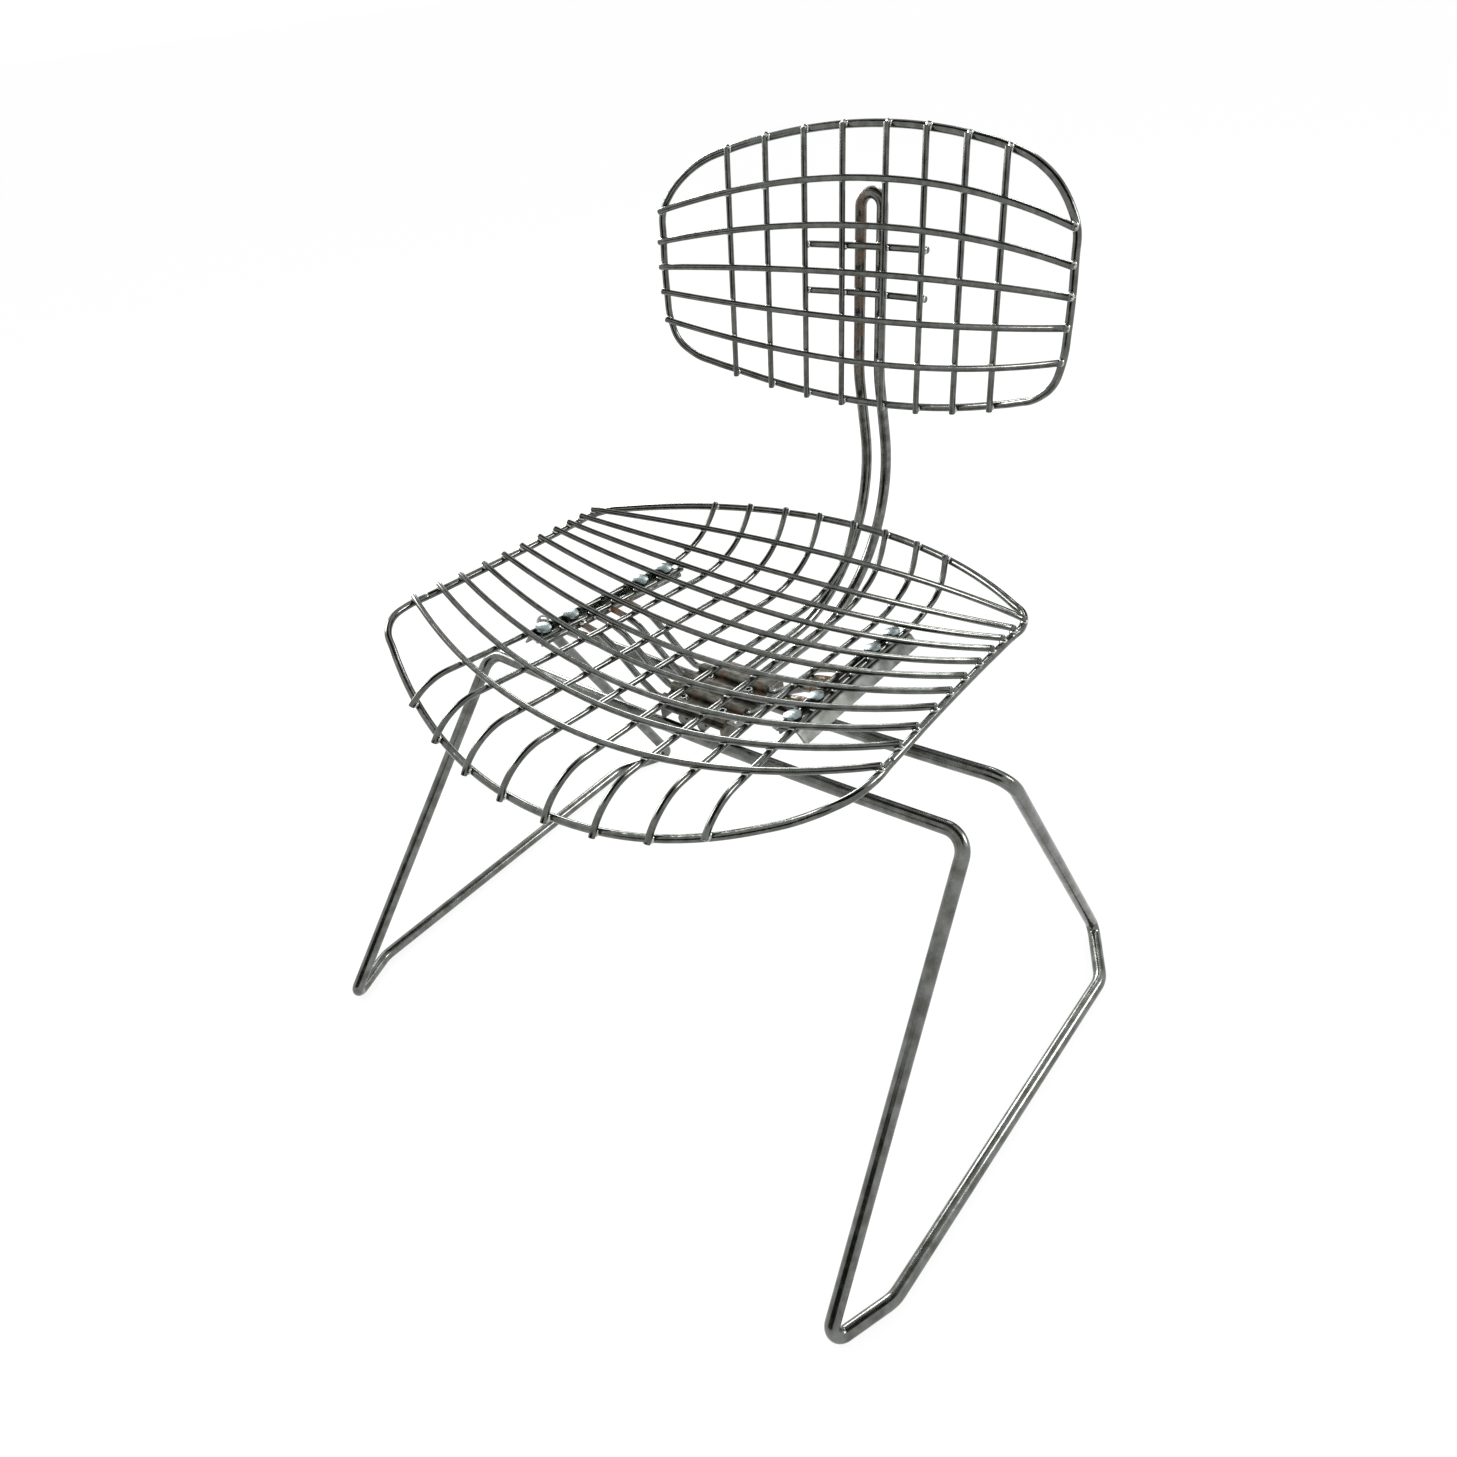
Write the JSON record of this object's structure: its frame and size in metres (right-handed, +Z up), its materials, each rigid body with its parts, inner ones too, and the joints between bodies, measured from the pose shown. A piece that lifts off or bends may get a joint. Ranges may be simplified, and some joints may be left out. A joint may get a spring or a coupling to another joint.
{
  "type": "wire mesh side chair",
  "caption": "Armless side chair with a dished wire mesh seat on leaf-like spring wires and a curved wire mesh back on a bent rod base.",
  "frame": {"origin": "on the floor, under the middle of the bounding box", "axes": "+Z up, the seat's front faces -Y, the symmetry plane is X = 0"},
  "size_m": [0.7092, 0.6306, 0.7801],
  "materials": {
    "base_rod_chrome": "bright chrome plate, a little dulled",
    "post_chrome": "bright chrome plate with brown specks",
    "mesh_wire_chrome": "bright chrome plate",
    "spring_wire_chrome": "chrome plate, rust spots",
    "clamp_steel": "dull plated steel with rust stains",
    "fastener_zinc": "zinc plate",
    "head_zinc": "zinc plate, bluish",
    "bracket_steel": "dull plated steel"
  },
  "bodies": {
    "root": {"back_cross_wire_1": "mesh_wire_chrome", "back_cross_wire_2": "mesh_wire_chrome", "back_cross_wire_3": "mesh_wire_chrome", "back_cross_wire_4": "mesh_wire_chrome", "back_cross_wire_5": "mesh_wire_chrome", "back_mount_bars": "post_chrome", "back_post": "post_chrome", "back_rim_lower": "mesh_wire_chrome", "back_rim_upper": "mesh_wire_chrome", "back_upright_wire_1": "mesh_wire_chrome", "back_upright_wire_2": "mesh_wire_chrome", "back_upright_wire_3": "mesh_wire_chrome", "back_upright_wire_4": "mesh_wire_chrome", "back_upright_wire_5": "mesh_wire_chrome", "back_upright_wire_6": "mesh_wire_chrome", "back_upright_wire_7": "mesh_wire_chrome", "back_upright_wire_8": "mesh_wire_chrome", "base_front_cross_tube": "base_rod_chrome", "base_front_leg_left": "base_rod_chrome", "base_front_leg_right": "base_rod_chrome", "base_rear_cross_tube": "base_rod_chrome", "base_rear_leg_left": "base_rod_chrome", "base_rear_leg_right": "base_rod_chrome", "base_runner_left": "base_rod_chrome", "base_runner_right": "base_rod_chrome", "clamp_channel": "clamp_steel", "clamp_fasteners": "fastener_zinc", "clamp_top_plate": "clamp_steel", "seat_bracket_heads": "head_zinc", "seat_bracket_left": "bracket_steel", "seat_bracket_right": "bracket_steel", "seat_cross_wire_1": "mesh_wire_chrome", "seat_cross_wire_10": "mesh_wire_chrome", "seat_cross_wire_11": "mesh_wire_chrome", "seat_cross_wire_2": "mesh_wire_chrome", "seat_cross_wire_3": "mesh_wire_chrome", "seat_cross_wire_4": "mesh_wire_chrome", "seat_cross_wire_5": "mesh_wire_chrome", "seat_cross_wire_6": "mesh_wire_chrome", "seat_cross_wire_7": "mesh_wire_chrome", "seat_cross_wire_8": "mesh_wire_chrome", "seat_cross_wire_9": "mesh_wire_chrome", "seat_long_wire_1": "mesh_wire_chrome", "seat_long_wire_2": "mesh_wire_chrome", "seat_long_wire_3": "mesh_wire_chrome", "seat_long_wire_4": "mesh_wire_chrome", "seat_long_wire_5": "mesh_wire_chrome", "seat_long_wire_6": "mesh_wire_chrome", "seat_long_wire_7": "mesh_wire_chrome", "seat_long_wire_8": "mesh_wire_chrome", "seat_rail_wire_left": "mesh_wire_chrome", "seat_rail_wire_right": "mesh_wire_chrome", "seat_rim_front": "mesh_wire_chrome", "seat_rim_left": "mesh_wire_chrome", "seat_rim_rear": "mesh_wire_chrome", "seat_rim_right": "mesh_wire_chrome", "spring_wire_1": "spring_wire_chrome", "spring_wire_2": "spring_wire_chrome", "spring_wire_3": "spring_wire_chrome", "spring_wire_4": "spring_wire_chrome"}
  },
  "joints": []
}
